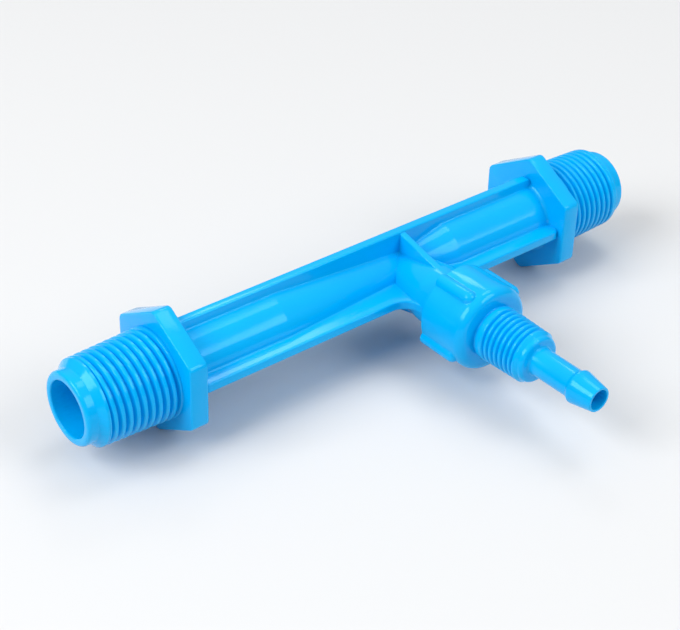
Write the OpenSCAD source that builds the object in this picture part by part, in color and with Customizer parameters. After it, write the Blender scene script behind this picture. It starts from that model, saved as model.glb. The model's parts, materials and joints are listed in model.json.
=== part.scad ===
// Venturi fertilizer injector for a half-inch irrigation line, in moulded polypropylene.
// The origin is on the main axis at the outer face of the inlet hexagon, where the supply fitting stops.
// +X points out of the inlet, the suction branch points along -Y, and +Z is up.

/* [Main run] */
// Distance from the suction axis to the outer face of the inlet hexagon
inlet_reach = 46.4; // [40:0.1:60]
// Distance from the suction axis to the outer face of the outlet hexagon
outlet_reach = 69.4; // [60:0.1:90]
// Outer radius of the tube beside the hexagons
tube_r = 8.7; // [8:0.1:9.6]
// Outer radius of the waist round the throat
waist_r = 5.7; // [5:0.1:7]
// Length of the short outer cone on the inlet side
inlet_cone_len = 11; // [9:0.1:18]
// Length of the long outer cone on the outlet side
outlet_cone_len = 37.5; // [28:0.1:45]
// Length of the plain waist between the two cones
waist_len = 2.5; // [1:0.1:6]

/* [Water passage] */
// Radius of the bore at the inlet and the outlet
bore_r = 6.6; // [6:0.05:7]
// Radius of the nozzle's tip
nozzle_r = 2.0; // [1.5:0.05:2.4]
// Straight length of the nozzle's tip
nozzle_land = 1.5; // [0.5:0.1:3]
// Radius where the diffuser starts
diffuser_r = 2.7; // [2.5:0.05:3.2]
// Radius of the suction port into the throat
port_r = 1.5; // [1:0.05:2]

/* [Hexagons] */
// Width of each hexagon across its flats
hex_flats = 27.2; // [25:0.1:30]
// Thickness of each hexagon
hex_t = 4.6; // [3.5:0.1:7]
// Depth that the rounding takes off each sharp corner of a hexagon
hex_corner_cut = 0.25; // [0.1:0.05:1]

/* [Pipe ends] */
// Gauge radius of the half-inch pipe thread
pipe_thread_r = 10.4775; // [10.2:0.0025:10.7]
// Length of each pipe thread
pipe_thread_len = 18.2; // [14:0.1:22]
// Length of the chamfer from the thread to the nose
pipe_chamfer_len = 1.4; // [0.8:0.1:2.5]
// Outer radius of the plain nose in front of the thread
nose_r = 8.6; // [8.2:0.05:9.2]
// Length of the plain nose
nose_len = 2.6; // [1.5:0.1:5]
// Rounding of the nose's outer edge
nose_round = 0.9; // [0.3:0.05:1.2]

/* [Stiffening webs] */
// Thickness of the four lengthwise webs
web_t = 2.4; // [1.6:0.1:3.2]
// Distance from the main axis to the top of the upright webs
web_rise = 11; // [10.4:0.1:12.5]
// Distance from the main axis to the edge of the level webs
web_reach = 12.2; // [11:0.1:12.8]
// Rounding of the webs' outer edges
web_round = 0.8; // [0.3:0.05:1]
// Radius of the sweep from the front web into the suction neck
web_sweep = 4.5; // [3:0.1:6]
// Thickness of the gussets over and under the suction neck
gusset_t = 1.8; // [1.2:0.1:2.6]
// Distance from the main axis along the suction axis to the gussets' feet
gusset_reach = 13.6; // [10:0.1:15]

/* [Suction branch] */
// Radius of the neck beside the cap
neck_r = 7.4; // [7.1:0.05:8]
// Radius of the neck's root on the main axis
neck_root_r = 5.2; // [4.5:0.1:6.5]
// Distance from the main axis to the end of the neck's cone
neck_cone_end = 14; // [11:0.1:15]
// Distance from the main axis to the cap's rear rim
rim_s = 20; // [19:0.1:24]
// Thickness of the flange that the rim is welded to
flange_t = 1.4; // [1:0.1:2]
// Radius of that flange
flange_r = 9.2; // [9:0.05:10]
// Radius of the spigot inside the cap
spigot_r = 8.2; // [7.6:0.05:8.6]
// Length of that spigot
spigot_len = 6.5; // [5:0.1:8]

/* [Check valve] */
// Radius of the ball
ball_r = 4.0; // [3.6:0.05:4.2]
// Distance that the ball lifts from its seat
ball_lift = 2.4; // [1:0.1:3.5]
// Clearance between the ball and what stops it, at either end of its travel
ball_gap = 0.15; // [0.1:0.01:0.3]
// Radius of the valve chamber round the ball
chamber_r = 5.2; // [5:0.05:5.6]
// Distance from the main axis to the floor of the chamber
chamber_floor = 13.5; // [11:0.1:15]
// Half angle of the ball's conical seat
seat_angle = 45; // [40:1:50]
// Number of ribs that guide the ball and hold it off the port when it is open
cage_ribs = 3; // [3:1:5]
// Thickness of those ribs
cage_rib_t = 1.4; // [1:0.1:1.8]
// Radial clearance between the ball and the ribs beside it
guide_gap = 0.25; // [0.15:0.05:0.5]
// Width of the bare floor between the port and the ribs' feet
cage_step = 0.3; // [0.1:0.05:0.6]

/* [Suction cap] */
// Outer radius of the cap's collar
collar_r = 10.5; // [10.2:0.05:12]
// Length of the collar from its rear rim to its front face
collar_len = 13; // [12:0.1:16]
// Rounding of the collar's front edge
collar_round = 2; // [0.8:0.1:2.5]
// Radial clearance between the collar and the spigot inside it
weld_gap = 0.08; // [0.02:0.01:0.2]
// Number of driving lugs round the collar
lug_count = 4; // [3:1:6]
// Radius of each lug's rounded back
lug_r = 1.75; // [1.2:0.05:2]
// Height that a lug stands out of the collar
lug_rise = 1.1; // [0.6:0.05:1.5]
// Length of each lug from the rear rim
lug_len = 11; // [8:0.1:11]
// Turn of the first lug from straight up
lug_turn = 29; // [0:1:90]
// Radius of the short neck in front of the collar
cap_neck_r = 6.0; // [5.6:0.05:6.2]
// Length of that neck
cap_neck_len = 3.4; // [2:0.1:5]
// Gauge radius of the quarter-inch pipe thread
hose_thread_r = 6.5785; // [6.4:0.0005:6.8]
// Length of that thread
hose_thread_len = 8.4; // [6:0.1:12]
// Radius of the plain band in front of the thread
band_r = 5.7; // [5:0.05:6]
// Length of the chamfer from the thread to the band
band_chamfer = 0.8; // [0.4:0.05:1.2]
// Length of the plain band
band_len = 2; // [1:0.1:3]
// Rounding of the band's front edge
band_round = 0.9; // [0.3:0.05:1]

/* [Hose barb] */
// Radius of the hole through the barb
hose_bore_r = 2.4; // [1.8:0.05:2.6]
// Radius of the stem behind the barb
stem_r = 3.35; // [3.1:0.05:3.7]
// Length of the stem
stem_len = 10.2; // [6:0.1:14]
// Radius of the barb at its crest
barb_r = 4.05; // [3.8:0.05:4.6]
// Length of the barb's steep back
barb_back = 0.9; // [0.3:0.05:1.5]
// Length of the barb's flat crest
barb_crest = 0.5; // [0.2:0.05:1]
// Length of the barb's tapered front
barb_taper = 6.6; // [4:0.1:8]
// Radius of the barb's front end
barb_tip_r = 3; // [2.7:0.05:3.1]

/* [Hidden] */
$fn = 96;
// Overlap that joins neighbouring forms of one moulding, and clears the cuts
lap = 0.5;

run_len = inlet_reach + outlet_reach;
hex_r = hex_flats / 2 / cos(30);
hex_corner_r = hex_r - hex_corner_cut;
end_len = pipe_thread_len + pipe_chamfer_len + nose_len;
bore_mouth = waist_len / 2 + inlet_cone_len;
diffuser_end = waist_len / 2 + outlet_cone_len;

// Places along the suction axis, measured from the main axis
spigot_end = rim_s + spigot_len;
collar_end = rim_s + collar_len;
cap_neck_end = collar_end + cap_neck_len;
hose_thread_end = cap_neck_end + hose_thread_len;
band_start = hose_thread_end + band_chamfer;
band_end = band_start + band_len;
stem_end = band_end + stem_len;
crest_start = stem_end + barb_back;
crest_end = crest_start + barb_crest;
barb_end = crest_end + barb_taper;

// The seat's cone runs from the chamber's radius down to the hose bore
seat_end = spigot_end + (chamber_r - hose_bore_r) / tan(seat_angle);
ball_touch = seat_end + hose_bore_r / tan(seat_angle) - ball_r / sin(seat_angle);
ball_s = ball_touch - ball_gap / sin(seat_angle);
cage_inner_r = port_r + cage_step;
guide_r = ball_r + guide_gap;
cage_top = ball_s - ball_lift - ball_gap - sqrt(ball_r * ball_r - cage_inner_r * cage_inner_r);

// Puts a form that is built round the crossing of the two axes into the part's own frame
module from_crossing() {
    translate([-inlet_reach, 0, 0])
        children();
}

// Stands a form that is built along +Z along the main axis instead, pointing to the inlet
module along_run() {
    rotate([0, 90, 0])
        children();
}

// Stands a form that is built along +Z along the suction axis instead, pointing to the hose
module along_suction() {
    rotate([90, 0, 0])
        children();
}

// A half section with one rounded outer corner at its far end
module rounded_half_section(r, length, round_r) {
    square([r, length - round_r]);
    square([r - round_r, length]);
    translate([r - round_r, length - round_r])
        circle(r = round_r);
}

// A cylinder with a rounded far edge
module rounded_cylinder(r, length, round_r) {
    rotate_extrude()
        intersection() {
            rounded_half_section(r, length, round_r);
            square([r, length]);
        }
}

// A bar section with two rounded outer corners, standing along +Y from the origin
module web_section(rise) {
    translate([-web_t / 2, 0])
        square([web_t, rise - web_round]);
    translate([-web_t / 2 + web_round, 0])
        square([web_t - 2 * web_round, rise]);
    for (side = [-1, 1])
        translate([side * (web_t / 2 - web_round), rise - web_round])
            circle(r = web_round);
}

// One threaded pipe end with its hexagon, standing along +Z from the hexagon's outer face
module pipe_end() {
    translate([0, 0, -hex_t])
        intersection() {
            cylinder(r = hex_r, h = hex_t, $fn = 6);
            cylinder(r = hex_corner_r, h = hex_t);
        }
    translate([0, 0, -lap])
        cylinder(r = pipe_thread_r, h = pipe_thread_len + lap);
    translate([0, 0, pipe_thread_len])
        cylinder(r1 = pipe_thread_r, r2 = nose_r, h = pipe_chamfer_len);
    translate([0, 0, pipe_thread_len - lap])
        rounded_cylinder(nose_r, end_len - pipe_thread_len + lap, nose_round);
}

// The outside of the tube: two cylinders, and two cones that meet at the waist
module tube_outside() {
    rotate_extrude()
        polygon([
            [0, -outlet_reach + lap],
            [tube_r, -outlet_reach + lap],
            [tube_r, -diffuser_end],
            [waist_r, -waist_len / 2],
            [waist_r, waist_len / 2],
            [tube_r, bore_mouth],
            [tube_r, inlet_reach - lap],
            [0, inlet_reach - lap]
        ]);
}

// The water passage: inlet bore, nozzle, step at the suction port, diffuser and outlet bore
module water_passage() {
    rotate_extrude()
        polygon([
            [0, -outlet_reach - end_len - lap],
            [bore_r, -outlet_reach - end_len - lap],
            [bore_r, -diffuser_end],
            [diffuser_r, port_r],
            [nozzle_r, port_r],
            [nozzle_r, port_r + nozzle_land],
            [bore_r, bore_mouth],
            [bore_r, inlet_reach + end_len + lap],
            [0, inlet_reach + end_len + lap]
        ]);
}

// A straight web from hexagon to hexagon, standing along +Z
module straight_web(rise) {
    web_len = run_len - 2 * hex_t + 2 * lap;
    translate([-outlet_reach + hex_t - lap, 0, 0])
        rotate([90, 0, 90])
            linear_extrude(height = web_len)
                web_section(rise);
}

// The two sweeps of the front web, each a quarter turn that runs out along the suction neck
module web_sweeps() {
    corner_r = web_sweep * sqrt(2) + lap;
    for (side = [0, 1])
        mirror([side, 0, 0])
            translate([-neck_r - web_sweep, -web_reach - web_sweep, 0])
                rotate_extrude(angle = 90)
                    translate([corner_r, 0])
                        rotate([0, 0, 90])
                            web_section(corner_r - web_sweep);
}

// A triangular plate from the upright web's edge down to the top of the suction neck
module gusset() {
    translate([-gusset_t / 2, 0, 0])
        rotate([90, 0, 90])
            linear_extrude(height = gusset_t)
                polygon([
                    [0, 0],
                    [0, web_rise - web_round],
                    [-web_t / 2, web_rise - web_round],
                    [-gusset_reach, neck_r - lap / 2],
                    [-gusset_reach, 0]
                ]);
}

// The neck, flange and spigot that carry the cap
module suction_neck() {
    cylinder(r1 = neck_root_r, r2 = neck_r, h = neck_cone_end);
    translate([0, 0, neck_cone_end - lap])
        cylinder(r = neck_r, h = rim_s - flange_t - neck_cone_end + 2 * lap);
    translate([0, 0, rim_s - flange_t])
        cylinder(r = flange_r, h = flange_t);
    translate([0, 0, rim_s - lap])
        cylinder(r = spigot_r, h = spigot_len + lap);
}

// The suction port and the valve chamber
module suction_passage() {
    cylinder(r = port_r, h = chamber_floor + lap);
    translate([0, 0, chamber_floor])
        cylinder(r = chamber_r, h = spigot_end - chamber_floor + lap);
}

// The ribs in the chamber: each guides the ball, and its foot stops the open ball and lets the feed past
module valve_cage() {
    guide_w = chamber_r - guide_r + lap;
    foot_w = chamber_r - cage_inner_r + lap;
    for (i = [0 : cage_ribs - 1])
        rotate([0, 0, 90 + i * 360 / cage_ribs])
            translate([0, -cage_rib_t / 2, chamber_floor - lap]) {
                translate([guide_r, 0, 0])
                    cube([guide_w, cage_rib_t, spigot_end - chamber_floor + lap]);
                translate([cage_inner_r, 0, 0])
                    cube([foot_w, cage_rib_t, cage_top - chamber_floor + lap]);
            }
}

// The main moulding
module injector_body() {
    color("deepskyblue")
        from_crossing() {
            difference() {
                union() {
                    along_run()
                        tube_outside();
                    translate([inlet_reach, 0, 0])
                        along_run()
                            pipe_end();
                    translate([-outlet_reach, 0, 0])
                        mirror([1, 0, 0])
                            along_run()
                                pipe_end();
                    for (turn = [0, 180])
                        rotate([turn, 0, 0])
                            straight_web(web_rise);
                    for (turn = [90, -90])
                        rotate([turn, 0, 0])
                            straight_web(web_reach);
                    web_sweeps();
                    for (side = [0, 1])
                        mirror([0, 0, side])
                            gusset();
                    along_suction()
                        suction_neck();
                }
                along_run()
                    water_passage();
                along_suction()
                    suction_passage();
            }
            along_suction()
                valve_cage();
        }
}

// The outside of the suction cap, standing along +Z from the main axis
module cap_outside() {
    translate([0, 0, rim_s])
        rounded_cylinder(collar_r, collar_len, collar_round);
    translate([0, 0, collar_end - lap])
        cylinder(r = cap_neck_r, h = cap_neck_len + 2 * lap);
    translate([0, 0, cap_neck_end])
        cylinder(r = hose_thread_r, h = hose_thread_len);
    translate([0, 0, hose_thread_end])
        cylinder(r1 = hose_thread_r, r2 = band_r, h = band_chamfer);
    translate([0, 0, hose_thread_end])
        rounded_cylinder(band_r, band_end - hose_thread_end, band_round);
    translate([0, 0, band_end - lap])
        rotate_extrude()
            polygon([
                [0, 0],
                [stem_r, 0],
                [stem_r, stem_len + lap],
                [barb_r, crest_start - band_end + lap],
                [barb_r, crest_end - band_end + lap],
                [barb_tip_r, barb_end - band_end + lap],
                [0, barb_end - band_end + lap]
            ]);
}

// The lugs that the welding tool drives the cap by, each with a round back and a round front end
module cap_lugs() {
    lug_centre = collar_r + lug_rise - lug_r;
    for (i = [0 : lug_count - 1])
        rotate([0, 0, lug_turn + i * 360 / lug_count])
            translate([0, lug_centre, rim_s]) {
                cylinder(r = lug_r, h = lug_len - lug_r);
                translate([0, 0, lug_len - lug_r])
                    sphere(r = lug_r);
            }
}

// The hollow of the cap: the socket over the spigot, the ball's seat and the hose bore
module cap_hollow() {
    translate([0, 0, rim_s - lap])
        cylinder(r = spigot_r + weld_gap, h = spigot_len + lap);
    translate([0, 0, spigot_end - lap])
        cylinder(r = chamber_r, h = lap);
    translate([0, 0, spigot_end])
        cylinder(r1 = chamber_r, r2 = hose_bore_r, h = seat_end - spigot_end);
    translate([0, 0, seat_end - lap])
        cylinder(r = hose_bore_r, h = barb_end - seat_end + 2 * lap);
}

// The welded cap with its threaded spigot and hose barb
module suction_cap() {
    color("deepskyblue")
        from_crossing()
            along_suction()
                difference() {
                    union() {
                        cap_outside();
                        cap_lugs();
                    }
                    cap_hollow();
                }
}

// The loose ball, closed against its seat in the cap
module check_ball() {
    color("ghostwhite")
        from_crossing()
            along_suction()
                translate([0, 0, ball_s])
                    sphere(r = ball_r);
}

injector_body();
suction_cap();
check_ball();
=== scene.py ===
"""Venturi fertilizer injector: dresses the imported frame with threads, soft edges, plastic and a studio."""

import json
import math

import bpy
from bpy.props import FloatProperty, IntProperty, PointerProperty, StringProperty
from mathutils import Matrix, Vector


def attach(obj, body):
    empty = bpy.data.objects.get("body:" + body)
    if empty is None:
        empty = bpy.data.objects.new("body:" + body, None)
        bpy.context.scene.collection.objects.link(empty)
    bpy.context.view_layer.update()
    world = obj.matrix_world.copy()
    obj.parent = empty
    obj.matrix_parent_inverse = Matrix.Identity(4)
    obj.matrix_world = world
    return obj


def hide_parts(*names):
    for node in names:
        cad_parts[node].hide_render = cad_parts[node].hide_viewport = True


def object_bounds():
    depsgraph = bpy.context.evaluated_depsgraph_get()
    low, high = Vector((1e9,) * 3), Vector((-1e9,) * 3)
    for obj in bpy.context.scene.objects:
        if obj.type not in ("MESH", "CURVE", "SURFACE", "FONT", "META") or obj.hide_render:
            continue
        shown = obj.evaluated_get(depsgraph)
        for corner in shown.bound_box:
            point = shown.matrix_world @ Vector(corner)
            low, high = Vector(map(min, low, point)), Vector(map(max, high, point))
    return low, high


bl_info = {
    "name": "Venturi Fertilizer Injector",
    "version": (1, 0, 0),
    "blender": (4, 5, 0),
    "location": "View3D > Sidebar > Injector",
    "description": "Models the moulded injector body, its welded suction cap, the check ball and a studio",
    "category": "Object",
}

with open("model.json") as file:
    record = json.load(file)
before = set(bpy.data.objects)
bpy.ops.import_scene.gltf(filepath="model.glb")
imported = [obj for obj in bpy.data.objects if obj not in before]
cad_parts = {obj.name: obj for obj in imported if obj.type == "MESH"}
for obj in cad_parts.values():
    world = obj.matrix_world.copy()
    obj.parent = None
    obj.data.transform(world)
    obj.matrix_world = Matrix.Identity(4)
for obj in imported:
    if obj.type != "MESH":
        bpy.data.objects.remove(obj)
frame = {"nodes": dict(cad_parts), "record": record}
CAD_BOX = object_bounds()

MM = 0.001
MOUNTS = {mount["name"]: mount for mount in frame["record"]["mounts"]}
INLET_FACE = Vector(MOUNTS["inlet_thread"]["pos_m"])
OUTLET_FACE = Vector(MOUNTS["outlet_thread"]["pos_m"])
# The crossing is where the suction axis meets the main axis. Every outline is measured from it.
CROSSING = Vector((MOUNTS["suction_thread"]["pos_m"][0], 0.0, 0.0))
TO_INLET = Vector((1.0, 0.0, 0.0))
TO_OUTLET = Vector((-1.0, 0.0, 0.0))
TO_HOSE = Vector((0.0, -1.0, 0.0))

INLET_REACH = (INLET_FACE - CROSSING).length
OUTLET_REACH = (CROSSING - OUTLET_FACE).length
THREAD_FOOT = (Vector(MOUNTS["suction_thread"]["pos_m"]) - CROSSING).length
BARB_END = (Vector(MOUNTS["hose_barb"]["pos_m"]) - CROSSING).length

# How finely the forms are cut: steps round a turned form, and the largest turn of one step of an arc
TURN_STEPS = 120
ARC_STEP = math.radians(15)
THREAD_STEPS = 84
RIDGE_POINTS = 24
# Above 1, a thread's crests are broader than its grooves, as moulded threads are
CREST_FULLNESS = 2.4
# Joined forms reach this far into each other, so that no two of their faces lie in one plane
SINK = 0.02 * MM
LAP = 0.5 * MM
# Vertices closer than this are one vertex
MERGE = 0.0002 * MM
# Faces that meet at less than this angle are shaded as one curve
SMOOTH_ANGLE = math.radians(36)
HALF_TURN = math.pi
QUARTER_TURN = math.pi / 2

# Steps of the smaller curves
FILLET_STEPS = 6
WEB_END_STEPS = 5
SWEEP_STEPS = 18
LUG_STEPS = 4
LUG_END_STEPS = 8
CORNER_STEPS = 4
RIM_STEPS = 3
# Roundings of edges that are too small to have a size of their own, in grades from keen to soft
EDGE_FINEST = 0.1 * MM
EDGE_KEEN = 0.15 * MM
EDGE_CRISP = 0.2 * MM
EDGE_EASED = 0.25 * MM
EDGE_SOFT = 0.3 * MM
EDGE_SOFTEST = 0.4 * MM
# Blend from the suction neck's cone to its straight part, and fillet from there to the flange
NECK_BLEND = 3.0 * MM
FLANGE_FILLET = 0.6 * MM
# Length of the slope from the cap's neck up to its smooth foot
FOOT_SLOPE = 0.3 * MM
# The rounded rear edge of a lug, as steps along the lug and inwards, in millimetres
LUG_REAR = ((0.0, 0.25), (0.1, 0.08), (0.3, 0.0))
# How far a lug's front end dips into the collar
LUG_DIP = 0.05 * MM
# A web's and a lug's section close at these shares of the radius, inside the form that they stand on
WEB_ROOT = 0.7
LUG_ROOT = 0.9
# A pipe thread's diameter narrows by 1 in 16 of its length, so its radius narrows by 1 in 32
THREAD_TAPER = 1 / 32

# Sizes of the patterns in the plastics
PIGMENT_DRIFT = 14 * MM
GLOSS_DRIFT = 5 * MM
POLISH_WAVE = 1.2 * MM
BALL_CLOUD = 3 * MM
GRINDING_MARK = 0.2 * MM
# The pigment's drifts are drawn out along the main run, where the melt flowed
FLOW_STRETCH = (0.35, 1.0, 1.0)
# How far the blue plastic's roughness swings to either side
GLOSS_SWING = 0.03
# Refractive index of polypropylene
PLASTIC_IOR = 1.49

# The photograph's camera, in the frame of the CAD, and the photograph's width
CAMERA_PLACE = Vector((-280.06, -256.20, 219.23)) * MM
CAMERA_RIGHT = Vector((0.7743, -0.6324, 0.0236))
CAMERA_UP = Vector((0.3379, 0.4448, 0.8294))
FOCAL_PIXELS = 1725.0
IMAGE_WIDTH = 680
SENSOR_WIDTH = 36.0
CLIP_START = 10 * MM
# Side of the square studio floor, in metres
FLOOR_SIZE = 40.0
# Soft boxes: name, direction from the part, distance, width and height, and brightness against white paper
SOFT_BOXES = (
    ("key_box", (0.32, -0.72, 0.60), 1.2, (0.57, 0.60), 4.4),
    ("top_box", (0.34, 0.05, 0.94), 1.2, (0.36, 0.46), 3.4),
    ("rear_box", (0.41, 0.58, 0.70), 1.2, (0.24, 0.22), 4.0),
    ("left_box", (-0.76, 0.10, 0.64), 1.2, (0.80, 0.60), 6.6),
)
# Brightness of the studio's air at the horizon and overhead, against white paper
AIR_AT_HORIZON = 0.1
AIR_OVERHEAD = 0.85


def length(label, millimetres, description):
    """A size that a user may change. It is given in millimetres and kept in metres."""
    return FloatProperty(name=label, description=description, default=millimetres * MM, unit="LENGTH",
                         precision=5)


def colour(label, default, description):
    """A colour that a user may change, as an sRGB hex value."""
    return StringProperty(name=label, description=description, default=default)


class RunSizes(bpy.types.PropertyGroup):
    """The tube of the main run and the water passage in it."""

    tube_radius: length("Tube radius", 8.7, "Outer radius of the tube beside the hexagons")
    waist_radius: length("Waist radius", 5.7, "Outer radius of the waist round the throat")
    waist_length: length("Waist length", 2.5, "Plain length between the two cones")
    inlet_cone: length("Inlet cone", 11.0, "Length of the short cone on the inlet side")
    outlet_cone: length("Outlet cone", 37.5, "Length of the long cone on the outlet side")
    cone_blend: length("Cone blend", 4.0, "Radius that softens the ends of the cones")
    root_fillet: length("Root fillet", 1.1, "Fillet from the tube to each hexagon's inner face")
    bore_radius: length("Bore radius", 6.6, "Radius of the bore at the inlet and the outlet")
    bore_lip: length("Bore lip", 0.45, "Rounding of the bore's outer edge")
    nozzle_radius: length("Nozzle radius", 2.0, "Radius of the nozzle's tip")
    nozzle_land: length("Nozzle land", 1.5, "Straight length of the nozzle's tip")
    diffuser_radius: length("Diffuser radius", 2.7, "Radius where the diffuser starts")
    port_radius: length("Port radius", 1.5, "Radius of the suction port into the throat")


class EndSizes(bpy.types.PropertyGroup):
    """The two hexagons and the two threaded pipe ends."""

    hexagon_flats: length("Hexagon flats", 27.2, "Width of each hexagon across its flats")
    hexagon_thickness: length("Hexagon thickness", 4.6, "Thickness of each hexagon")
    hexagon_corner: length("Hexagon corner", 1.62, "Radius of the hexagon's corners")
    hexagon_edge: length("Hexagon edge", 0.4, "Bevel of the hexagon's rims")
    thread_length: length("Thread length", MOUNTS["inlet_thread"]["dims"]["length_mm"],
                          "Length of each pipe thread")
    thread_crest: length("Thread crest", 10.76, "Radius of the thread's crests at the hexagon")
    thread_pitch: length("Thread pitch", 25.4 / 14, "Distance from crest to crest, 14 to the inch")
    thread_depth: length("Thread depth", 1.1, "Depth from crest to root")
    core_radius: length("Core radius", 8.85, "Radius of the wall inside the thread")
    band_radius: length("Band radius", 10.15, "Radius of the smooth band in front of the first ridge")
    band_length: length("Band length", 0.7, "Length of that band")
    chamfer_length: length("Chamfer length", 1.4, "Length of the cone from the band to the nose")
    nose_radius: length("Nose radius", 8.6, "Radius of the plain nose")
    nose_length: length("Nose length", 2.6, "Length of the plain nose")
    nose_round: length("Nose round", 0.9, "Rounding of the nose's outer edge")


class WebSizes(bpy.types.PropertyGroup):
    """The four lengthwise webs, the sweeps into the suction neck and the gussets."""

    thickness: length("Web thickness", 2.4, "Thickness of the four webs")
    upright_rise: length("Upright rise", 11.0, "Distance from the main axis to the upright webs' edges")
    level_reach: length("Level reach", 12.2, "Distance from the main axis to the level webs' edges")
    edge_round: length("Edge round", 0.5, "Rounding of the webs' outer edges")
    foot_fillet: length("Foot fillet", 0.5, "Fillet from the web down to the tube")
    end_round: length("End round", 1.3, "Rounding of the webs' outer corners at the hexagons")
    sweep_radius: length("Sweep radius", 4.5, "Radius of the front web's sweep into the suction neck")
    gusset_thickness: length("Gusset thickness", 1.8, "Thickness of the gussets at the suction neck")
    gusset_reach: length("Gusset reach", 15.2, "Distance from the main axis to the gussets' feet")
    gusset_edge: length("Gusset edge", 0.55, "Rounding of the gussets' sloping edges")


class NeckSizes(bpy.types.PropertyGroup):
    """The suction neck of the body, with its flange, spigot and valve chamber."""

    root_radius: length("Root radius", 5.2, "Radius of the neck's cone on the main axis")
    neck_radius: length("Neck radius", 7.4, "Radius of the neck behind the flange")
    cone_end: length("Cone end", 14.0, "Distance from the main axis to the end of the neck's cone")
    rim_place: length("Rim place", 20.0, "Distance from the main axis to the cap's rear rim")
    flange_thickness: length("Flange thickness", 1.4, "Thickness of the flange that the cap is welded to")
    flange_radius: length("Flange radius", 9.2, "Radius of that flange")
    spigot_radius: length("Spigot radius", 8.2, "Radius of the spigot inside the cap")
    spigot_length: length("Spigot length", 6.5, "Length of that spigot")
    chamber_radius: length("Chamber radius", 5.2, "Radius of the valve chamber")
    chamber_floor: length("Chamber floor", 13.5, "Distance from the main axis to the chamber's floor")
    rib_count: IntProperty(name="Rib count", description="Number of ribs that guide the ball", default=3)
    rib_thickness: length("Rib thickness", 1.4, "Thickness of the ribs")
    rib_guide: length("Rib guide", 4.25, "Distance from the suction axis to the ribs beside the ball")
    rib_foot: length("Rib foot", 1.8, "Distance from the suction axis to the ribs' feet")
    foot_top: length("Foot top", 19.71, "Distance from the main axis to where the feet stop the ball")


class CapSizes(bpy.types.PropertyGroup):
    """The welded suction cap, with its lugs, thread and hose barb."""

    collar_radius: length("Collar radius", 10.5, "Radius of the collar")
    collar_length: length("Collar length", 13.0, "Length of the collar")
    collar_round: length("Collar round", 2.3, "Rounding of the collar's front edge")
    rim_round: length("Rim round", 0.35, "Rounding of the collar's rear rim")
    socket_radius: length("Socket radius", 8.28, "Radius of the socket over the body's spigot")
    lug_count: IntProperty(name="Lug count", description="Number of lugs round the collar", default=4)
    lug_turn: FloatProperty(name="Lug turn", description="Turn of the first lug from straight up",
                            default=math.radians(29), subtype="ANGLE")
    lug_radius: length("Lug radius", 1.75, "Radius of a lug's rounded back")
    lug_rise: length("Lug rise", 1.25, "Height of a lug above the collar")
    lug_length: length("Lug length", 11.0, "Length of a lug from the rear rim")
    lug_fillet: length("Lug fillet", 0.35, "Fillet from a lug to the collar")
    neck_radius: length("Cap neck radius", 6.0, "Radius of the neck in front of the collar")
    neck_fillet: length("Neck fillet", 0.4, "Fillet from that neck to the collar's front face")
    neck_length: length("Neck length", 0.6, "Length of the neck with its fillet")
    foot_radius: length("Foot radius", 6.68, "Radius of the smooth foot between the neck and the ridges")
    thread_length: length("Hose thread length", MOUNTS["suction_thread"]["dims"]["length_mm"] + 0.9,
                          "Length of the suction thread with its shoulder")
    run_out: length("Run-out", 0.98, "Length of the ridges that run on towards the collar")
    shoulder_radius: length("Shoulder radius", 6.36, "Radius of the smooth shoulder in front of the ridges")
    shoulder_length: length("Shoulder length", 0.5, "Length of that shoulder")
    thread_crest: length("Hose thread crest", 6.66, "Radius of the thread's crests beside the collar")
    thread_pitch: length("Hose thread pitch", 1.465, "Distance from crest to crest, as the photo shows it")
    thread_depth: length("Hose thread depth", 0.856, "Depth from crest to root")
    core_radius: length("Hose thread core", 5.4, "Radius of the wall inside the thread")
    band_chamfer: length("Band chamfer", 0.8, "Length from the thread to the plain band")
    band_radius: length("Band radius", 5.7, "Radius of the plain band")
    band_length: length("Band length", 1.1, "Length of the plain band")
    band_round: length("Band round", 0.9, "Rounding of the band's front edge")
    stem_radius: length("Stem radius", 3.35, "Radius of the stem behind the barb")
    stem_length: length("Stem length", 11.1, "Length of the stem")
    stem_fillet: length("Stem fillet", 0.6, "Fillet from the stem to the band")
    barb_radius: length("Barb radius", 4.02, "Radius of the barb's crest")
    barb_back: length("Barb back", 0.9, "Length of the barb's steep back")
    barb_crest: length("Barb crest", 0.5, "Length of the barb's crest")
    barb_tip: length("Barb tip", 3.0, "Radius of the barb's front end")
    bore_radius: length("Hose bore", 2.4, "Radius of the hole through the barb")
    seat_start: length("Seat start", 26.5, "Distance from the main axis to the wide end of the ball's seat")
    seat_radius: length("Seat radius", 5.2, "Radius of the wide end of the ball's seat")
    seat_end: length("Seat end", 29.3, "Distance from the main axis to the narrow end of the ball's seat")


class Finish(bpy.types.PropertyGroup):
    """Colours and gloss of the two plastics, and the floor's colour."""

    blue: colour("Blue", "#00B2F4", "Main colour of the blue plastic")
    blue_deep: colour("Deep blue", "#00AAEE", "Colour where the pigment lies a little thicker")
    gloss_tint: colour("Gloss tint", "#98D8FF", "Tint of the soft reflections in the blue plastic")
    blue_roughness: FloatProperty(name="Blue roughness", description="Roughness of the blue plastic",
                                  default=0.12, min=0.0, max=1.0, subtype="FACTOR")
    ball: colour("Ball", "#ECEAE2", "Main colour of the ball")
    ball_shade: colour("Ball shade", "#E2DFD4", "Second colour of the ball")
    floor: colour("Floor", "#DADBDC", "Colour of the studio floor")


def linear(hex_colour):
    """An sRGB hex value as linear red, green, blue and alpha, by the curve of the sRGB standard."""
    channels = []
    for start in (1, 3, 5):
        level = int(hex_colour[start:start + 2], 16) / 255
        channels.append(level / 12.92 if level <= 0.04045 else ((level + 0.055) / 1.055) ** 2.4)
    return (*channels, 1.0)


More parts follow.
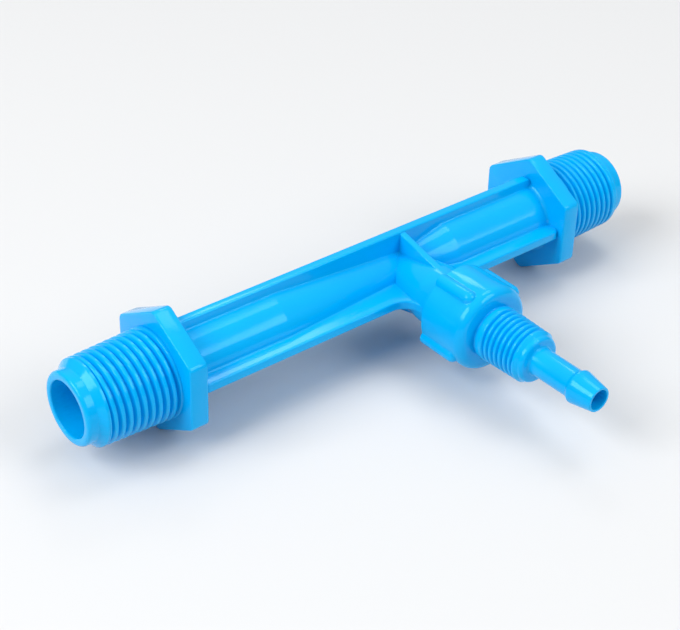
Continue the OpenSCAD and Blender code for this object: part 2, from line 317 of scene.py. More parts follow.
def add_node(tree, kind, settings, links):
    """Adds a node, sets its attributes and sockets, and links sockets to the outputs given for them."""
    node = tree.nodes.new(kind)
    for name, value in settings.items():
        if hasattr(node, name):
            setattr(node, name, value)
        else:
            node.inputs[name].default_value = value
    for name, source in links.items():
        tree.links.new(source, node.inputs[name])
    return node


def blank_tree(block):
    """The node tree of a new material or world, emptied."""
    block.use_nodes = True
    block.node_tree.nodes.clear()
    return block.node_tree


def noise(tree, size, detail, place):
    """The value of a noise pattern whose features have a real size."""
    settings = {"Scale": 1 / size, "Detail": detail}
    return add_node(tree, "ShaderNodeTexNoise", settings, {"Vector": place}).outputs["Fac"]


def surface(tree, settings, links):
    """Adds a material's surface shader and its output."""
    shader = add_node(tree, "ShaderNodeBsdfPrincipled", settings, links)
    add_node(tree, "ShaderNodeOutputMaterial", {}, {"Surface": shader.outputs["BSDF"]})


def put_down():
    """Leaves edit mode and deselects everything."""
    active = bpy.context.view_layer.objects.active
    if active is not None and active.mode != "OBJECT":
        bpy.ops.object.mode_set(mode="OBJECT")
    bpy.ops.object.select_all(action="DESELECT")


def take(solid):
    """Makes one object the only selected and the active one."""
    put_down()
    solid.select_set(True)
    bpy.context.view_layer.objects.active = solid


def settle():
    """Applies the place, turn and scale of the selected object."""
    bpy.ops.object.transform_apply(location=True, rotation=True, scale=True)


def open_mesh(solid, selected="SELECT"):
    """Opens an object in edit mode with all of it selected, or none of it."""
    take(solid)
    bpy.ops.object.mode_set(mode="EDIT")
    bpy.ops.mesh.select_mode(type="VERT")
    bpy.ops.mesh.select_all(action=selected)


def close_mesh():
    """Goes back to object mode."""
    bpy.ops.object.mode_set(mode="OBJECT")


def bevel_edges(solid, wanted, offset, segments):
    """Bevels the edges of an object whose two ends pass the test."""
    open_mesh(solid, "DESELECT")
    bpy.ops.mesh.select_mode(type="EDGE")
    close_mesh()
    spots = solid.data.vertices
    for edge in solid.data.edges:
        edge.select = wanted(spots[edge.vertices[0]].co, spots[edge.vertices[1]].co)
    bpy.ops.object.mode_set(mode="EDIT")
    bpy.ops.mesh.bevel(offset=offset, segments=segments, affect="EDGES")
    close_mesh()


def seal(solid):
    """Merges doubled vertices and turns every face outwards."""
    open_mesh(solid)
    bpy.ops.mesh.remove_doubles(threshold=MERGE)
    bpy.ops.mesh.normals_make_consistent(inside=False)
    close_mesh()


def swing(first, last, share):
    """The spoke that lies a share of the way round from one spoke to another of the same length."""
    return first.normalized().slerp(last.normalized(), share) * first.length


def rounded(corners):
    """The points of a line through corners (along, out, rounding), with each rounded corner as an arc."""
    points = []
    for index, (along, out, rounding) in enumerate(corners):
        here = Vector((along, out))
        if rounding <= 0.0:
            points.append(here)
            continue
        behind = (Vector(corners[index - 1][:2]) - here).normalized()
        ahead = (Vector(corners[(index + 1) % len(corners)][:2]) - here).normalized()
        half = behind.angle(ahead) / 2
        middle = here + (behind + ahead).normalized() * (rounding / math.sin(half))
        first = here + behind * (rounding / math.tan(half)) - middle
        last = here + ahead * (rounding / math.tan(half)) - middle
        steps = max(2, math.ceil((math.pi - 2 * half) / ARC_STEP))
        points += [middle + swing(first, last, step / steps) for step in range(steps + 1)]
    return points


def trace(name, points, closed=False):
    """Draws a line of edges: one vertex is extruded from point to point, and the ends are joined if asked."""
    put_down()
    bpy.ops.mesh.primitive_plane_add(size=MM, location=points[0])
    line = bpy.context.object
    line.name = name
    line.data.name = name
    settle()
    open_mesh(line)
    bpy.ops.mesh.merge(type="CENTER")
    for here, there in zip(points, points[1:]):
        step = Vector(there) - Vector(here)
        bpy.ops.mesh.extrude_vertices_move(TRANSFORM_OT_translate={"value": step})
    close_mesh()
    if closed:
        ends = (Vector(points[0]), Vector(points[-1]))
        for vertex in line.data.vertices:
            vertex.select = min((vertex.co - end).length for end in ends) < MERGE
        bpy.ops.object.mode_set(mode="EDIT")
        bpy.ops.mesh.edge_face_add()
        close_mesh()
    return line


def turned(name, corners):
    """A solid turned about +Z: its outline of (along, out, rounding) corners, spun once round the axis."""
    outline = [Vector((point.y, 0.0, point.x)) for point in rounded(corners)]
    solid = trace(name, outline)
    open_mesh(solid)
    bpy.ops.mesh.spin(steps=TURN_STEPS, angle=math.tau, center=(0, 0, 0), axis=(0, 0, 1))
    close_mesh()
    seal(solid)
    return solid


def cap_ends(solid):
    """Closes the open ends of a tube with one face each."""
    open_mesh(solid, "DESELECT")
    bpy.ops.mesh.select_non_manifold()
    bpy.ops.mesh.fill_holes(sides=0)
    close_mesh()
    seal(solid)


def lofted(name, loops):
    """A solid through a row of closed loops with the same number of points, bridged and capped."""
    rings = [trace(name, loop, closed=True) for loop in loops]
    put_down()
    for ring in rings:
        ring.select_set(True)
    bpy.context.view_layer.objects.active = rings[0]
    bpy.ops.object.join()
    open_mesh(rings[0])
    bpy.ops.mesh.select_mode(type="EDGE")
    bpy.ops.mesh.select_all(action="SELECT")
    bpy.ops.mesh.bridge_edge_loops(type="SINGLE")
    close_mesh()
    cap_ends(rings[0])
    return rings[0]


def slab(name, points, step):
    """A flat plate: a closed outline that is filled and extruded by one step."""
    plate = trace(name, points, closed=True)
    open_mesh(plate)
    bpy.ops.mesh.edge_face_add()
    bpy.ops.mesh.extrude_region_move(TRANSFORM_OT_translate={"value": step})
    close_mesh()
    seal(plate)
    return plate


def stand(solid, place, direction):
    """Stands a form that is built along +Z at a place, pointing in a direction, and applies it."""
    turn = direction.to_track_quat("Z", "Y").to_matrix().to_4x4()
    solid.matrix_world = Matrix.Translation(place) @ turn
    take(solid)
    settle()
    return solid


def twin(solid):
    """A copy with a mesh of its own."""
    take(solid)
    bpy.ops.object.duplicate(linked=False)
    return bpy.context.object


def turned_copy(solid, angle, axis, centre):
    """A copy turned about an axis through a point. With no window, a positive value turns the other way."""
    copy = twin(solid)
    bpy.ops.transform.rotate(value=-angle, orient_axis=axis, center_override=centre)
    settle()
    return copy


def combine(solid, tool, operation):
    """Joins a closed form to a solid (UNION) or cuts it away (DIFFERENCE), and then removes the form."""
    take(solid)
    modifier = solid.modifiers.new(operation.lower(), "BOOLEAN")
    modifier.operation = operation
    modifier.solver = "MANIFOLD"
    modifier.object = tool
    bpy.ops.object.modifier_apply(modifier=modifier.name)
    name = tool.name
    bpy.data.objects.remove(tool, do_unlink=True)
    if solid.modifiers or not solid.data.polygons:
        raise RuntimeError(f"{operation} of {solid.name} and {name} failed")


def dress(piece, node, material):
    """Finishes a piece: smooth shading, its material, and its place in the frame."""
    take(piece)
    bpy.ops.object.shade_smooth_by_angle(angle=SMOOTH_ANGLE)
    piece.data.materials.clear()
    piece.data.materials.append(material)
    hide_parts(node)
    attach(piece, "injector")


def taper_thread(name, crest, pitch, depth, reach):
    """A taper pipe thread along +Z: a line of ridges swept into a helix, tapered and cut at both ends."""
    # The line starts two turns early, and the cuts take off what is too long. Half a step's shift sets the
    # line's points evenly on both sides of each crest.
    early_turns = 2
    turns = math.ceil(reach / pitch) + early_turns
    rise = pitch / RIDGE_POINTS
    line = []
    for number in range(turns * RIDGE_POINTS + 1):
        along = (number + 0.5) * rise - early_turns * pitch
        groove = (1 - math.cos(math.tau * along / pitch)) / 2
        line.append(Vector((crest - depth * groove ** CREST_FULLNESS, 0.0, along)))
    thread = trace(name, line)
    take(thread)
    helix = thread.modifiers.new("helix", "SCREW")
    helix.axis = "Z"
    helix.angle = math.tau
    helix.screw_offset = pitch
    helix.steps = THREAD_STEPS
    helix.render_steps = THREAD_STEPS
    bpy.ops.object.modifier_apply(modifier=helix.name)
    seal(thread)
    heights = [vertex.co.z for vertex in thread.data.vertices]
    taper = thread.modifiers.new("taper", "SIMPLE_DEFORM")
    taper.deform_method = "TAPER"
    taper.deform_axis = "Z"
    taper.factor = -(max(heights) - min(heights)) * THREAD_TAPER / crest
    bpy.ops.object.modifier_apply(modifier=taper.name)
    for height, inner in ((-LAP, True), (reach, False)):
        open_mesh(thread)
        bpy.ops.mesh.bisect(plane_co=(0, 0, height), plane_no=(0, 0, 1), use_fill=True,
                            clear_inner=inner, clear_outer=not inner, threshold=MERGE)
        close_mesh()
    seal(thread)
    return thread


def tube_outline(run, end):
    """The outside of the main run along +Z, from the outlet's nose to the inlet's nose."""
    half_waist = run.waist_length / 2
    sides = []
    for reach, cone in ((OUTLET_REACH, run.outlet_cone), (INLET_REACH, run.inlet_cone)):
        face = reach - end.hexagon_thickness + SINK
        band_end = reach + end.thread_length
        nose_foot = band_end + end.chamfer_length
        sides.append([
            (nose_foot + end.nose_length, 0.0, 0.0),
            (nose_foot + end.nose_length, end.nose_radius, end.nose_round),
            (nose_foot, end.nose_radius, EDGE_SOFTEST),
            (band_end, end.band_radius, EDGE_SOFT),
            (band_end - end.band_length, end.band_radius, EDGE_KEEN),
            (band_end - end.band_length - end.thread_pitch / 4, end.core_radius, 0.0),
            (reach - LAP, end.core_radius, 0.0),
            (reach - LAP, run.tube_radius + run.root_fillet + LAP, 0.0),
            (face, run.tube_radius + run.root_fillet + LAP, 0.0),
            (face, run.tube_radius, run.root_fillet),
            (half_waist + cone, run.tube_radius, run.cone_blend),
            (half_waist, run.waist_radius, run.cone_blend),
        ])
    outlet = [(-along, out, rounding) for along, out, rounding in sides[0]]
    return outlet + sides[1][::-1]


def passage_outline(run, end):
    """The water passage along +Z: outlet bore, diffuser, step at the port, nozzle and inlet bore."""
    end_length = end.thread_length + end.chamfer_length + end.nose_length
    half_waist = run.waist_length / 2
    outlet_end = -OUTLET_REACH - end_length - SINK
    inlet_end = INLET_REACH + end_length + SINK
    lip = run.bore_radius + 2 * run.bore_lip
    return [
        (outlet_end - LAP, 0.0, 0.0),
        (outlet_end - LAP, lip, 0.0),
        (outlet_end, lip, 0.0),
        (outlet_end, run.bore_radius, run.bore_lip),
        (-half_waist - run.outlet_cone, run.bore_radius, 0.0),
        (run.port_radius, run.diffuser_radius, 0.0),
        (run.port_radius, run.nozzle_radius, 0.0),
        (run.port_radius + run.nozzle_land, run.nozzle_radius, 0.0),
        (half_waist + run.inlet_cone, run.bore_radius, 0.0),
        (inlet_end, run.bore_radius, run.bore_lip),
        (inlet_end, lip, 0.0),
        (inlet_end + LAP, lip, 0.0),
        (inlet_end + LAP, 0.0, 0.0),
    ]


def hexagon(end):
    """A hexagon along +Z up to the origin, with rounded corners and bevelled rims."""
    put_down()
    bpy.ops.mesh.primitive_cylinder_add(vertices=6, radius=end.hexagon_flats / math.sqrt(3),
                                        depth=end.hexagon_thickness,
                                        location=(0, 0, -end.hexagon_thickness / 2))
    solid = bpy.context.object
    solid.name = "hexagon"
    settle()

    def upright(one, other):
        return abs(one.z - other.z) > end.hexagon_thickness / 2

    def level(one, other):
        return abs(one.z - other.z) < SINK

    # A corner turns by a sixth of a full turn, and its bevel starts where an arc of its radius would
    bevel_edges(solid, upright, end.hexagon_corner * math.tan(math.tau / 12), CORNER_STEPS)
    bevel_edges(solid, level, end.hexagon_edge, RIM_STEPS)
    seal(solid)
    return solid


def tube_radius_at(along, run):
    """Outer radius of the tube at a distance from the crossing, positive towards the inlet."""
    cone = run.inlet_cone if along > 0 else run.outlet_cone
    share = (abs(along) - run.waist_length / 2) / cone
    share = min(1.0, max(0.0, share))
    return run.waist_radius + share * (run.tube_radius - run.waist_radius)


def web_section(radius, top, web):
    """A web's section as (sideways, outwards) points: rounded edge, straight sides and filleted foot."""
    half = web.thickness / 2
    # The fillet touches the web's side, and a circle a little inside the tube
    fillet = web.foot_fillet
    inner = radius - SINK
    middle = Vector((half + fillet, math.sqrt((inner + fillet) ** 2 - (half + fillet) ** 2)))
    touch = middle * (inner / (inner + fillet)) - middle
    side = Vector((-fillet, 0.0))
    foot = [middle + swing(touch, side, step / FILLET_STEPS) for step in range(FILLET_STEPS + 1)]
    edge = rounded([(half, middle.y, 0.0), (half, top, web.edge_round), (0.0, top, 0.0)])[1:-1]
    right = [foot[0] * WEB_ROOT] + foot + edge
    left = [Vector((-point.x, point.y)) for point in right[::-1]]
    return right + left


def straight_web(rise, run, end, web):
    """One web along the main run from hexagon to hexagon, standing along +Z."""
    half_waist = run.waist_length / 2
    first = -OUTLET_REACH + end.hexagon_thickness
    last = INLET_REACH - end.hexagon_thickness
    stations = [first - LAP, last + LAP, -half_waist - run.outlet_cone, -half_waist, half_waist,
                half_waist + run.inlet_cone]
    for step in range(WEB_END_STEPS + 1):
        inset = web.end_round * (1 - math.cos(QUARTER_TURN * step / WEB_END_STEPS))
        stations.append(first + inset)
        stations.append(last - inset)
    loops = []
    for along in sorted(stations):
        into = web.end_round - max(0.0, min(along - first, last - along))
        into = max(0.0, into)
        drop = web.end_round - math.sqrt(web.end_round ** 2 - into ** 2)
        section = web_section(tube_radius_at(along, run), rise - drop, web)
        loops.append([Vector((CROSSING.x + along, point.x, point.y)) for point in section])
    return lofted("web", loops)


def web_sweep(web, neck):
    """The front web's quarter turn into the suction neck on the outlet side."""
    sideways = -neck.neck_radius - web.sweep_radius
    forwards = -web.level_reach - web.sweep_radius
    centre = CROSSING + Vector((sideways, forwards, 0.0))
    half = web.thickness / 2
    outer = web.sweep_radius * math.sqrt(2) + LAP
    section = rounded([
        (web.sweep_radius, -half, web.edge_round),
        (outer, -half, 0.0),
        (outer, half, 0.0),
        (web.sweep_radius, half, web.edge_round),
    ])
    sweep = trace("sweep", [centre + Vector((point.x, 0.0, point.y)) for point in section], closed=True)
    open_mesh(sweep)
    bpy.ops.mesh.spin(steps=SWEEP_STEPS, angle=-QUARTER_TURN, center=centre, axis=(0, 0, 1))
    close_mesh()
    cap_ends(sweep)
    return sweep


def gusset(web, neck):
    """A triangular plate from the upright web's edge down to the top of the suction neck."""
    shoulder = web.upright_rise - web.edge_round
    foot = neck.neck_radius - LAP / 2
    half = web.gusset_thickness / 2
    side = [(0.0, 0.0), (0.0, shoulder), (-web.thickness / 2, shoulder), (-web.gusset_reach, foot),
            (-web.gusset_reach, 0.0)]
    corners = [CROSSING + Vector((-half, along, height)) for along, height in side]
    plate = slab("gusset", corners, (web.gusset_thickness, 0, 0))

    def sloping(one, other):
        return abs(one.y - other.y) > web.gusset_reach / 2 and min(one.z, other.z) > foot - SINK

    bevel_edges(plate, sloping, web.gusset_edge, CORNER_STEPS)
    seal(plate)
    return plate


def valve_ribs(neck):
    """The ribs of the valve chamber along +Z: each guides the ball, and its foot stops the open ball."""
    ribs = []
    floor = neck.chamber_floor - LAP
    wall = neck.chamber_radius + LAP
    mouth = neck.rim_place + neck.spigot_length
    half = neck.rib_thickness / 2
    side = [(neck.rib_foot, floor), (wall, floor), (wall, mouth), (neck.rib_guide, mouth),
            (neck.rib_guide, neck.foot_top), (neck.rib_foot, neck.foot_top)]
    rib = slab("rib", [Vector((out, -half, along)) for out, along in side], (0, neck.rib_thickness, 0))
    for number in range(neck.rib_count):
        angle = QUARTER_TURN + number * math.tau / neck.rib_count
        ribs.append(turned_copy(rib, angle, "Z", (0, 0, 0)))
    bpy.data.objects.remove(rib, do_unlink=True)
    return ribs


def neck_outline(neck):
    """The outside of the suction neck, flange and spigot along +Z from the main axis."""
    flange_foot = neck.rim_place - neck.flange_thickness
    spigot_end = neck.rim_place + neck.spigot_length
    return [
        (0.0, 0.0, 0.0),
        (0.0, neck.root_radius, 0.0),
        (neck.cone_end, neck.neck_radius, NECK_BLEND),
        (flange_foot, neck.neck_radius, FLANGE_FILLET),
        (flange_foot, neck.flange_radius, EDGE_SOFT),
        (neck.rim_place, neck.flange_radius, 0.0),
        (neck.rim_place, neck.spigot_radius, 0.0),
        (spigot_end, neck.spigot_radius, 0.0),
        (spigot_end, 0.0, 0.0),
    ]


def chamber_outline(run, neck):
    """The suction port and the valve chamber along +Z from the main axis."""
    mouth = neck.rim_place + neck.spigot_length + LAP
    return [
        (0.0, 0.0, 0.0),
        (0.0, run.port_radius, 0.0),
        (neck.chamber_floor, run.port_radius, 0.0),
        (neck.chamber_floor, neck.chamber_radius, 0.0),
        (mouth, neck.chamber_radius, 0.0),
        (mouth, 0.0, 0.0),
    ]


def cap_outline(cap, neck):
    """The outside of the cap without its thread, along +Z from the main axis."""
    collar_end = neck.rim_place + cap.collar_length
    ridge_start = THREAD_FOOT - cap.run_out
    thread_end = THREAD_FOOT + cap.thread_length
    band_start = thread_end + cap.band_chamfer
    band_end = band_start + cap.band_length
    stem_end = band_end + cap.stem_length
    crest_start = stem_end + cap.barb_back
    crest_end = crest_start + cap.barb_crest
    return [
        (neck.rim_place, 0.0, 0.0),
        (neck.rim_place, cap.collar_radius, cap.rim_round),
        (collar_end, cap.collar_radius, cap.collar_round),
        (collar_end, cap.neck_radius, cap.neck_fillet),
        (collar_end + cap.neck_length, cap.neck_radius, EDGE_CRISP),
        (collar_end + cap.neck_length + FOOT_SLOPE, cap.foot_radius, EDGE_EASED),
        (ridge_start, cap.foot_radius, EDGE_KEEN),
        (ridge_start + cap.thread_pitch / 4, cap.core_radius, 0.0),
        (thread_end - cap.shoulder_length - cap.thread_pitch / 4, cap.core_radius, 0.0),
        (thread_end - cap.shoulder_length, cap.shoulder_radius, EDGE_FINEST),
        (thread_end, cap.shoulder_radius, EDGE_CRISP),
        (band_start, cap.band_radius, EDGE_SOFT),
        (band_end, cap.band_radius, cap.band_round),
        (band_end, cap.stem_radius, cap.stem_fillet),
        (stem_end, cap.stem_radius, EDGE_SOFT),
        (crest_start, cap.barb_radius, EDGE_CRISP),
        (crest_end, cap.barb_radius, EDGE_CRISP),
        (BARB_END, cap.barb_tip, EDGE_EASED),
        (BARB_END, 0.0, 0.0),
    ]


def hollow_outline(cap, neck):
    """The hollow of the cap along +Z: socket, ball seat and hose bore."""
    lip = cap.bore_radius + 1.5 * EDGE_CRISP
    return [
        (neck.rim_place - LAP, 0.0, 0.0),
        (neck.rim_place - LAP, cap.socket_radius, 0.0),
        (cap.seat_start, cap.socket_radius, 0.0),
        (cap.seat_start, cap.seat_radius, 0.0),
        (cap.seat_end, cap.bore_radius, 0.0),
        (BARB_END + SINK, cap.bore_radius, EDGE_CRISP),
        (BARB_END + SINK, lip, 0.0),
        (BARB_END + LAP, lip, 0.0),
        (BARB_END + LAP, 0.0, 0.0),
    ]


def lug_section(radius, cap):
    """A lug's section as (sideways, outwards) points: a round back with a fillet down to the collar."""
    seat = cap.collar_radius + cap.lug_rise - cap.lug_radius
    inner = cap.collar_radius - SINK
    rise = max(SINK, seat + radius - inner)
    fillet = min(cap.lug_fillet, rise)
    # The fillet's circle touches the collar's circle and the lug's own
    far = inner + fillet
    near = radius + fillet
    out = (far ** 2 - near ** 2 + seat ** 2) / (2 * seat)
    middle = Vector((math.sqrt(max(0.0, far ** 2 - out ** 2)), out))
    foot = Vector((0.0, seat))
    on_collar = middle * (inner / far) - middle
    on_lug = foot + (middle - foot) * (radius / near)
    right = [middle + swing(on_collar, on_lug - middle, step / LUG_STEPS) for step in range(LUG_STEPS)]
    top = Vector((0.0, radius))
    back_steps = 2 * LUG_STEPS
    back = [foot + swing(on_lug - foot, top, step / back_steps) for step in range(back_steps)]
    right = [right[0] * LUG_ROOT] + right + back
    left = [Vector((-point.x, point.y)) for point in right[::-1]]
    return right + [foot + top] + left


def cap_lug(cap, neck):
    """One lug along +Z, on the side of +Y, from the collar's rear rim to its rounded front end."""
    seat = cap.collar_radius + cap.lug_rise - cap.lug_radius
    start = neck.rim_place
    straight_end = start + cap.lug_length - cap.lug_radius
    loops = [(start + along * MM, cap.lug_radius - inwards * MM) for along, inwards in LUG_REAR]
    loops.append((straight_end, cap.lug_radius))
    lowest = cap.collar_radius - seat - LUG_DIP
    for step in range(1, LUG_END_STEPS + 1):
        turn = math.acos(lowest / cap.lug_radius) * step / LUG_END_STEPS
        loops.append((straight_end + cap.lug_radius * math.sin(turn), cap.lug_radius * math.cos(turn)))
    return lofted("lug", [
        [Vector((point.x, point.y, along)) for point in lug_section(radius, cap)]
        for along, radius in loops
    ])


def moulded_blue_polypropylene(finish):
    """Injection-moulded polypropylene with blue pigment.

    The polished mould gives the eye an even, saturated colour with soft broad highlights. Slow drifts of the
    pigment follow the flow of the melt, the gloss changes a little from place to place, and a faint waviness
    softens the reflections.
    """
    material = bpy.data.materials.new("moulded_blue_polypropylene")
    tree = blank_tree(material)
    place = add_node(tree, "ShaderNodeTexCoord", {}, {}).outputs["Object"]
    flow = add_node(tree, "ShaderNodeMapping", {"Scale": FLOW_STRETCH}, {"Vector": place}).outputs["Vector"]
    drift = noise(tree, PIGMENT_DRIFT, detail=3.0, place=flow)
    shade = add_node(tree, "ShaderNodeValToRGB", {}, {"Fac": drift})
    shade.color_ramp.elements[0].position = 0.3
    shade.color_ramp.elements[0].color = linear(finish.blue_deep)
    shade.color_ramp.elements[1].position = 0.7
    shade.color_ramp.elements[1].color = linear(finish.blue)
    gloss = noise(tree, GLOSS_DRIFT, detail=4.0, place=place)
    rough = add_node(tree, "ShaderNodeMapRange", {
        "To Min": finish.blue_roughness - GLOSS_SWING,
        "To Max": finish.blue_roughness + GLOSS_SWING,
    }, {"Value": gloss})
    # The polish leaves waves a few micrometres high
    waves = noise(tree, POLISH_WAVE, detail=2.0, place=place)
    bump = add_node(tree, "ShaderNodeBump", {"Strength": 0.25, "Distance": 0.02 * MM}, {"Height": waves})
    surface(tree, {
        "IOR": PLASTIC_IOR,
        "Specular Tint": linear(finish.gloss_tint),
    }, {
        "Base Color": shade.outputs["Color"],
        "Roughness": rough.outputs["Result"],
        "Normal": bump.outputs["Normal"],
    })
    return material


def ground_white_polypropylene(finish):
    """A polypropylene ball that is moulded and then ground round.

    Grinding gives the eye a satin off-white with fine marks and no parting line.
    """
    material = bpy.data.materials.new("ground_white_polypropylene")
    tree = blank_tree(material)
    place = add_node(tree, "ShaderNodeTexCoord", {}, {}).outputs["Object"]
    cloud = noise(tree, BALL_CLOUD, detail=3.0, place=place)
    shade = add_node(tree, "ShaderNodeValToRGB", {}, {"Fac": cloud})
    shade.color_ramp.elements[0].color = linear(finish.ball_shade)
    shade.color_ramp.elements[1].color = linear(finish.ball)
    # The grinding marks change both the gloss and the height of the surface
    marks = noise(tree, GRINDING_MARK, detail=2.0, place=place)
    rough = add_node(tree, "ShaderNodeMapRange", {"To Min": 0.38, "To Max": 0.5}, {"Value": marks})
    bump = add_node(tree, "ShaderNodeBump", {"Strength": 0.3, "Distance": 0.01 * MM}, {"Height": marks})
    surface(tree, {"IOR": PLASTIC_IOR}, {
        "Base Color": shade.outputs["Color"],
        "Roughness": rough.outputs["Result"],
        "Normal": bump.outputs["Normal"],
    })
    return material


def matt_studio_board(finish):
    """Matt painted board under the part, an even pale surface with no shine."""
    material = bpy.data.materials.new("matt_studio_board")
    settings = {"Base Color": linear(finish.floor), "Roughness": 0.9, "Specular IOR Level": 0.1}
    surface(blank_tree(material), settings, {})
    return material


def blue_plastic(finish):
    """The blue plastic, made once and shared by the body and the cap."""
    made = bpy.data.materials.get("moulded_blue_polypropylene")
    return made or moulded_blue_polypropylene(finish)


def soft_box(name, direction, distance, size, radiance):
    """A rectangular soft box that faces the part. Its power follows from its area and brightness."""
    bpy.ops.object.light_add(type="AREA", location=CROSSING + direction * distance)
    box = bpy.context.object
    box.name = name
    box.rotation_euler = direction.to_track_quat("Z", "Y").to_euler()
    box.data.shape = "RECTANGLE"
    box.data.size, box.data.size_y = size
    box.data.energy = radiance * math.pi * size[0] * size[1]


def studio_air():
    """A white world that is dim at the horizon and bright overhead."""
    world = bpy.data.worlds.new("studio_air")
    tree = blank_tree(world)
    place = add_node(tree, "ShaderNodeTexCoord", {}, {}).outputs["Generated"]
    height = add_node(tree, "ShaderNodeSeparateXYZ", {}, {"Vector": place}).outputs["Z"]
    glow = add_node(tree, "ShaderNodeMapRange", {"To Min": AIR_AT_HORIZON, "To Max": AIR_OVERHEAD},
                    {"Value": height})
    air = add_node(tree, "ShaderNodeBackground", {"Color": linear("#FFFFFF")},
                   {"Strength": glow.outputs["Result"]})
    add_node(tree, "ShaderNodeOutputWorld", {}, {"Surface": air.outputs["Background"]})
    return world


def photo_camera():
    """A camera where the photograph was taken from."""
    bpy.ops.object.camera_add()
    camera = bpy.context.object
    camera.name = "photo_camera"
    back = CAMERA_RIGHT.cross(CAMERA_UP)
    turn = Matrix((CAMERA_RIGHT, CAMERA_UP, back)).transposed().to_4x4()
    camera.matrix_world = Matrix.Translation(CAMERA_PLACE) @ turn
    camera.data.sensor_width = SENSOR_WIDTH
    camera.data.lens = FOCAL_PIXELS / IMAGE_WIDTH * SENSOR_WIDTH
    camera.data.clip_start = CLIP_START
    return camera


class INJECTOR_OT_body(bpy.types.Operator):
    """Models the main moulding: tube, hexagons, threads, webs, gussets and suction neck"""

    bl_idname = "injector.body"
    bl_label = "Injector Body"

    def execute(self, context):
        sizes = context.scene.injector
        run, end, web, neck = sizes.run, sizes.end, sizes.web, sizes.neck
        body = stand(turned("body_moulding", tube_outline(run, end)), CROSSING, TO_INLET)
        joined = []
        flats = hexagon(end)
        thread = taper_thread("pipe_thread", end.thread_crest, end.thread_pitch, end.thread_depth,
                              end.thread_length - end.band_length / 2)
        for form in (flats, thread):
            joined.append(stand(twin(form), INLET_FACE, TO_INLET))
            joined.append(stand(form, OUTLET_FACE, TO_OUTLET))
        upright = straight_web(web.upright_rise, run, end, web)
        level = straight_web(web.level_reach, run, end, web)
        joined += [upright, turned_copy(upright, HALF_TURN, "X", (0, 0, 0))]
        for angle in (QUARTER_TURN, -QUARTER_TURN):
            joined.append(turned_copy(level, angle, "X", (0, 0, 0)))
        bpy.data.objects.remove(level, do_unlink=True)
        for form in (web_sweep(web, neck), gusset(web, neck)):
            joined += [form, turned_copy(form, HALF_TURN, "Y", CROSSING)]
        joined.append(stand(turned("neck", neck_outline(neck)), CROSSING, TO_HOSE))
        for form in joined:
            combine(body, form, "UNION")
        combine(body, stand(turned("passage", passage_outline(run, end)), CROSSING, TO_INLET), "DIFFERENCE")
        combine(body, stand(turned("chamber", chamber_outline(run, neck)), CROSSING, TO_HOSE), "DIFFERENCE")
        for rib in valve_ribs(neck):
            combine(body, stand(rib, CROSSING, TO_HOSE), "UNION")
        dress(body, "injector_body", blue_plastic(sizes.finish))
        return {"FINISHED"}


class INJECTOR_OT_cap(bpy.types.Operator):
    """Models the welded suction cap: lugged collar, thread, band, stem and hose barb"""

    bl_idname = "injector.cap"
    bl_label = "Suction Cap"

    def execute(self, context):
        sizes = context.scene.injector
        cap, neck = sizes.cap, sizes.neck
        piece = turned("cap_moulding", cap_outline(cap, neck))
        thread = taper_thread("hose_thread", cap.thread_crest, cap.thread_pitch, cap.thread_depth,
                              cap.thread_length + cap.run_out - cap.shoulder_length / 2)
        combine(piece, stand(thread, Vector((0, 0, THREAD_FOOT - cap.run_out)), Vector((0, 0, 1))), "UNION")
        lug = cap_lug(cap, neck)
        for number in range(cap.lug_count):
            angle = cap.lug_turn + number * math.tau / cap.lug_count
            combine(piece, turned_copy(lug, angle, "Z", (0, 0, 0)), "UNION")
        bpy.data.objects.remove(lug, do_unlink=True)
        combine(piece, turned("hollow", hollow_outline(cap, neck)), "DIFFERENCE")
        stand(piece, CROSSING, TO_HOSE)
        dress(piece, "suction_cap", blue_plastic(sizes.finish))
        return {"FINISHED"}


class INJECTOR_OT_ball(bpy.types.Operator):
    """Gives the check ball its ground plastic"""

    bl_idname = "injector.ball"
    bl_label = "Check Ball"

    def execute(self, context):
        ball = frame["nodes"]["check_ball"]
        if not ball.material_slots:
            raise RuntimeError("check_ball has no material slot")
        material = ground_white_polypropylene(context.scene.injector.finish)
        for slot in ball.material_slots:
            slot.material = material
        return {"FINISHED"}


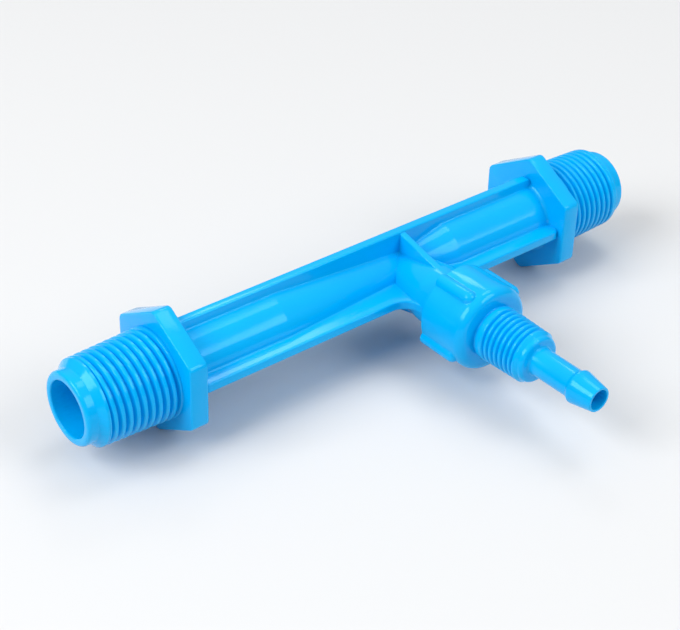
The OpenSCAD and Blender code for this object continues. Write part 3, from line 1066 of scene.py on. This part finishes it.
class INJECTOR_OT_studio(bpy.types.Operator):
    """Sets up the pale floor, the soft boxes and the photograph's camera"""

    bl_idname = "injector.studio"
    bl_label = "Studio"

    def execute(self, context):
        scene = context.scene
        lowest = CAD_BOX[0][2]
        put_down()
        bpy.ops.mesh.primitive_plane_add(size=FLOOR_SIZE, location=(CROSSING.x, 0.0, lowest - SINK))
        floor = bpy.context.object
        floor.name = "studio_floor"
        settle()
        floor.data.materials.append(matt_studio_board(scene.injector.finish))
        for name, direction, distance, size, radiance in SOFT_BOXES:
            soft_box(name, Vector(direction).normalized(), distance, size, radiance)
        scene.world = studio_air()
        scene.view_settings.view_transform = "Standard"
        put_down()
        scene.camera = photo_camera()
        return {"FINISHED"}


class InjectorSettings(bpy.types.PropertyGroup):
    """All sizes and colours of the injector."""

    run: PointerProperty(type=RunSizes, name="Main run")
    end: PointerProperty(type=EndSizes, name="Pipe ends")
    web: PointerProperty(type=WebSizes, name="Webs")
    neck: PointerProperty(type=NeckSizes, name="Suction neck")
    cap: PointerProperty(type=CapSizes, name="Suction cap")
    finish: PointerProperty(type=Finish, name="Finish")


class INJECTOR_PT_panel(bpy.types.Panel):
    """Lists the steps of the injector's making and its sizes"""

    bl_idname = "INJECTOR_PT_panel"
    bl_label = "Injector"
    bl_space_type = "VIEW_3D"
    bl_region_type = "UI"
    bl_category = "Injector"

    def draw(self, context):
        for step in STEPS:
            self.layout.operator(step.bl_idname)
        for name in InjectorSettings.__annotations__:
            group = getattr(context.scene.injector, name)
            column = self.layout.column(align=True)
            for item in type(group).__annotations__:
                column.prop(group, item)


STEPS = (INJECTOR_OT_body, INJECTOR_OT_cap, INJECTOR_OT_ball, INJECTOR_OT_studio)
GROUPS = (RunSizes, EndSizes, WebSizes, NeckSizes, CapSizes, Finish, InjectorSettings)


def register():
    for item in GROUPS + STEPS + (INJECTOR_PT_panel,):
        bpy.utils.register_class(item)
    bpy.types.Scene.injector = PointerProperty(type=InjectorSettings)


def unregister():
    del bpy.types.Scene.injector
    for item in reversed(GROUPS + STEPS + (INJECTOR_PT_panel,)):
        bpy.utils.unregister_class(item)


def main():
    """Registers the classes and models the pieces."""
    register()
    bpy.ops.injector.body()
    bpy.ops.injector.cap()
    bpy.ops.injector.ball()
    bpy.ops.injector.studio()


if __name__ == "__main__":
    main()
